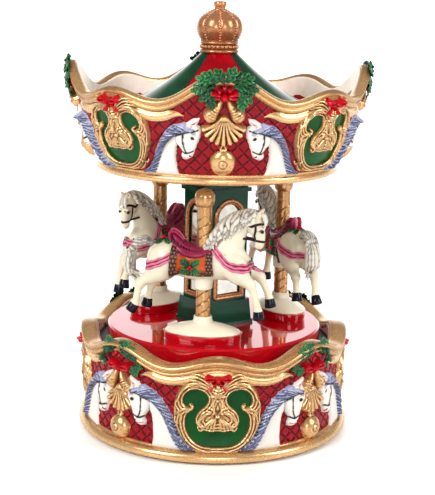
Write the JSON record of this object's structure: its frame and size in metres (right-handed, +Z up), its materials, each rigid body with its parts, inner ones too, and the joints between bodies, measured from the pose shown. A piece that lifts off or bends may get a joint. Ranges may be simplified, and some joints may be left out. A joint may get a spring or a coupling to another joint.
{
  "type": "carousel music box",
  "caption": "Wind-up musical carousel: relief drum with a wavy rim, turning platform with mirrored column and leaping horses on twisted poles, flared canopy topped by a crown.",
  "frame": {"origin": "centre of the resting plane, on the axis that everything turns about, at the underside of the felt pads", "axes": "+Z up the spindle to the crown; -Y towards the front cartouche of the base; the first horse stands a little left of the front and gallops towards +X"},
  "size_m": [0.1416, 0.1416, 0.2005],
  "materials": {
    "crimson_paint": "hand-painted cold-cast resin, crimson with an antique brown wash, satin varnish",
    "antique_gold": "antique gold paint over resin, brown wash in the hollows, soft metallic lustre",
    "relief_white": "off-white painted resin relief, lavender-blue manes, brown wash",
    "platform_red": "glossy scarlet enamel over resin",
    "column_green": "dark green enamel over resin with gold edges",
    "mirror_glass": "arched mirror glass",
    "horse_white": "cream-white painted resin, grey-brown washed mane and tail, black hooves, varnished",
    "pedestal_paint": "cream painted mound with a red and gold edge",
    "pole_gold": "twisted gold-plated rod, polished",
    "ceiling_cream": "cream painted resin",
    "roof_paint": "glossy scarlet and dark green panels",
    "crown_copper": "copper-gold paint, brown wash between the beads",
    "plate_black": "black moulded plastic",
    "felt": "green felt",
    "brass": "machined brass",
    "steel": "bright steel",
    "dark_steel": "dark spring steel",
    "zinc_bed": "die-cast zinc bedplate, satin",
    "holly_green": "holly leaves in bright and dark green paint with lighter ridges",
    "bow_red": "glossy red bows with a dark wash in the folds",
    "shield_green": "thick glossy dark green enamel",
    "tack": "maroon saddle, plum ribbons, orange and brown blanket, black bridle",
    "nylon": "natural nylon"
  },
  "bodies": {
    "base": {"foot_ring": "antique_gold", "base_drum": "crimson_paint", "base_deck": "plate_black", "base_gallery": "antique_gold", "base_cartouches": "antique_gold", "base_garlands": "antique_gold", "base_horse_heads": "relief_white", "bottom_plate": "plate_black", "bottom_plate_screws": "steel", "felt_pads": "felt", "spindle_bush": "brass", "movement_bedplate": "zinc_bed", "bedplate_screws": "steel", "inner_bracket": "steel", "outer_bracket": "steel", "governor_bracket": "steel", "bracket_screws": "dark_steel", "comb": "steel", "comb_screws": "dark_steel", "click_spring": "dark_steel", "click_screw": "dark_steel"},
    "key": {"winding_key": "brass", "winding_arbor": "steel", "ratchet_wheel": "dark_steel"},
    "carousel": {"spring_barrel": "brass", "crown_wheel": "brass", "mainspring": "dark_steel", "output_spindle": "steel", "spindle_nut": "steel", "platform": "platform_red", "column": "column_green", "column_mirrors": "mirror_glass", "column_window_frames": "antique_gold", "pedestal_1": "pedestal_paint", "pedestal_2": "pedestal_paint", "pedestal_3": "pedestal_paint", "pole_1": "pole_gold", "pole_2": "pole_gold", "pole_3": "pole_gold", "horse_1": "horse_white", "horse_2": "horse_white", "horse_3": "horse_white", "canopy_ceiling": "ceiling_cream", "canopy_drum": "crimson_paint", "canopy_gallery": "antique_gold", "canopy_roof": "roof_paint", "canopy_cartouches": "antique_gold", "canopy_garlands": "antique_gold", "canopy_horse_heads": "relief_white", "crown_finial": "crown_copper"},
    "cylinder": {"cylinder_drum": "brass", "cylinder_arbor": "steel", "cylinder_pinion": "steel", "cylinder_wheel": "brass"},
    "governor": {"governor_arbor": "steel", "governor_pinion": "steel", "worm_wheel": "nylon"},
    "fly": {"fly_worm": "steel", "fly_blades": "nylon"}
  },
  "joints": [
    {"name": "carousel_spin", "type": "hinge", "parent": "base", "child": "carousel", "pos_m": [0, 0, 0.0244], "axis": [0, 0, 1], "continuous": true},
    {"name": "key_wind", "type": "hinge", "parent": "base", "child": "key", "pos_m": [0, 0, 0.01], "axis": [0, 0, 1], "range_deg": [0, 1890]},
    {"name": "cylinder_spin", "type": "hinge", "parent": "base", "child": "cylinder", "pos_m": [0.015, 0, 0.03007], "axis": [1, 0, 0], "continuous": true},
    {"name": "governor_spin", "type": "hinge", "parent": "base", "child": "governor", "pos_m": [0.034, 0.0092, 0.03007], "axis": [1, 0, 0], "continuous": true},
    {"name": "fly_spin", "type": "hinge", "parent": "base", "child": "fly", "pos_m": [0.04, 0.01445, 0.03007], "axis": [0, 0, 1], "continuous": true}
  ],
  "couplings": [
    {"joint": "cylinder_spin", "follows": "carousel_spin", "ratio": 3},
    {"joint": "governor_spin", "follows": "carousel_spin", "ratio": -10.8},
    {"joint": "fly_spin", "follows": "carousel_spin", "ratio": 108}
  ]
}
